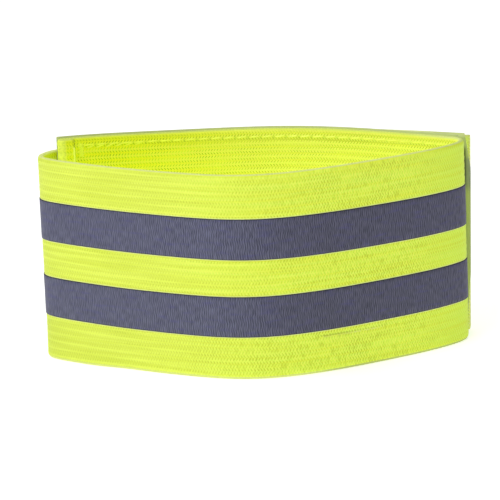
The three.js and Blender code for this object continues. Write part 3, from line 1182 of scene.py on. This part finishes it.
def raw_edge_fibres():
    """Short yarn ends that stand out of the hem's raw edge."""
    rng = np.random.default_rng(5)
    count = FIBRES
    height = rng.uniform(0.6, STRAP_WIDTH - 0.6, count)
    offset = -2 * HEM_BEND_RADIUS - rng.uniform(-0.6, 0.5, count)
    length = rng.uniform(0.2, 0.55, count)
    t = np.linspace(0, 1, 5)
    s = HEM_LENGTH - 0.15 + length[:, None] * t
    bend = rng.uniform(-0.25, 0.25, (count, 1)) * t**2
    droop = rng.uniform(-0.2, 0.2, (count, 1)) * t**2
    centres = ROUTE.place(s, offset[:, None] + bend, height[:, None] + droop)
    radii = 0.05 * (1 - 0.6 * t)
    marks = {"along": s, "lap": t}
    fibres = tubes("raw_edge_fibres", centres, UPRIGHT, radii, 3, FINISHES["edge"], marks)
    return on_band(fibres, "elastic_yellow")


# Studio

VIEW_ELEVATION = 14.3
VIEW_ROLL = -2.4
CAMERA_PLACE = (-2.12, -817.0, 233.9)
PHOTO_PIXELS = 500
FOCAL_PIXELS = 3442.7
SENSOR = 36.0


def camera():
    data = bpy.data.cameras.new("camera")
    data.sensor_width = SENSOR
    data.lens = FOCAL_PIXELS / PHOTO_PIXELS * SENSOR
    data.clip_end = 100
    view = bpy.data.objects.new("camera", data)
    tilt = Matrix.Rotation(math.radians(90 - VIEW_ELEVATION), 4, "X")
    roll = Matrix.Rotation(math.radians(VIEW_ROLL), 4, "Z")
    view.matrix_world = Matrix.Translation(Vector(CAMERA_PLACE) * MM) @ tilt @ roll
    bpy.context.scene.collection.objects.link(view)
    bpy.context.scene.camera = view


LIGHT_TARGET = Vector((0.0, 0.0, 0.025))
LIGHT_DISTANCE = 1.4
LIGHTS = [
    ("front_left_light", -45, 50, 0.9, 4.8),
    ("left_light", -80, 50, 0.9, 5.2),
    ("front_right_light", 45, 50, 0.9, 1.0),
    ("back_light", 180, 50, 0.9, 2.4),
    ("top_light", 0, 88, 1.2, 4.2),
]
WORLD_STRENGTH = 0.22
FLOOR_GLOW = 0.58
FLOOR_LESS_GLOW = 0.22
GLOW_CENTRE = (0.055, 0.0, 0.0)
GLOW_RADII = (0.014, 0.042)
FLOOR_REACH = 6000.0


def softbox(name, bearing, elevation, size, power):
    """A round soft light at that bearing from the front, counted to the right, and elevation."""
    bearing, elevation = math.radians(bearing), math.radians(elevation)
    level = math.cos(elevation)
    direction = Vector((math.sin(bearing) * level, -math.cos(bearing) * level, math.sin(elevation)))
    data = bpy.data.lights.new(name, "AREA")
    data.shape = "DISK"
    data.size = size
    data.energy = power
    light = bpy.data.objects.new(name, data)
    light.location = LIGHT_TARGET + direction * LIGHT_DISTANCE
    light.rotation_euler = direction.to_track_quat("Z", "Y").to_euler()
    bpy.context.scene.collection.objects.link(light)


def studio():
    """A white floor that glows, most below the fold, and soft lights, strongest from the left."""
    scene = bpy.context.scene
    scene.view_settings.view_transform = "Standard"
    world = bpy.data.worlds.new("studio")
    world.use_nodes = True
    background = world.node_tree.nodes["Background"]
    background.inputs["Color"].default_value = (1.0, 1.0, 1.0, 1.0)
    background.inputs["Strength"].default_value = WORLD_STRENGTH
    scene.world = world
    for light in LIGHTS:
        softbox(*light)
    white = (0.92, 0.92, 0.92, 1.0)
    shader_values = {"Base Color": white, "Emission Color": white, "Emission Strength": FLOOR_GLOW}
    floor_finish = Finish("floor_white", {"Roughness": 0.9, **shader_values})
    place = floor_finish.node("ShaderNodeNewGeometry", {}, {}, "Position")
    farther = place.distance(GLOW_CENTRE).share(*GLOW_RADII)
    floor_finish.feed("Emission Color", floor_finish.mix(farther * FLOOR_LESS_GLOW, white, BLACK))
    corners = [(-1, -1, 0), (1, -1, 0), (1, 1, 0), (-1, 1, 0)]
    points = np.array(corners) * FLOOR_REACH
    make_piece("floor", points, [[0, 1, 2, 3]], [floor_finish.material])


camera()
studio()
strap = woven_strap()
strap_threads = [
    weft_turns(),
    fused_edge(),
    raw_edge_fibres(),
    loop_seam(),
    seam_lock(),
    bartacks(),
    hook_seam(),
]
strips = [
    reflective_strip(
        "upper_reflective_strip", STRIP_UPPER_Z, UPPER_STRIP_DRIFT, "reflective_strip_upper", 21
    ),
    reflective_strip("lower_reflective_strip", STRIP_LOWER_Z, 0.0, "reflective_strip_lower", 22),
]
closure = [loop_tape(), loop_pile(), hook_tape(), hook_rows()]

strap_threads + strips + closure
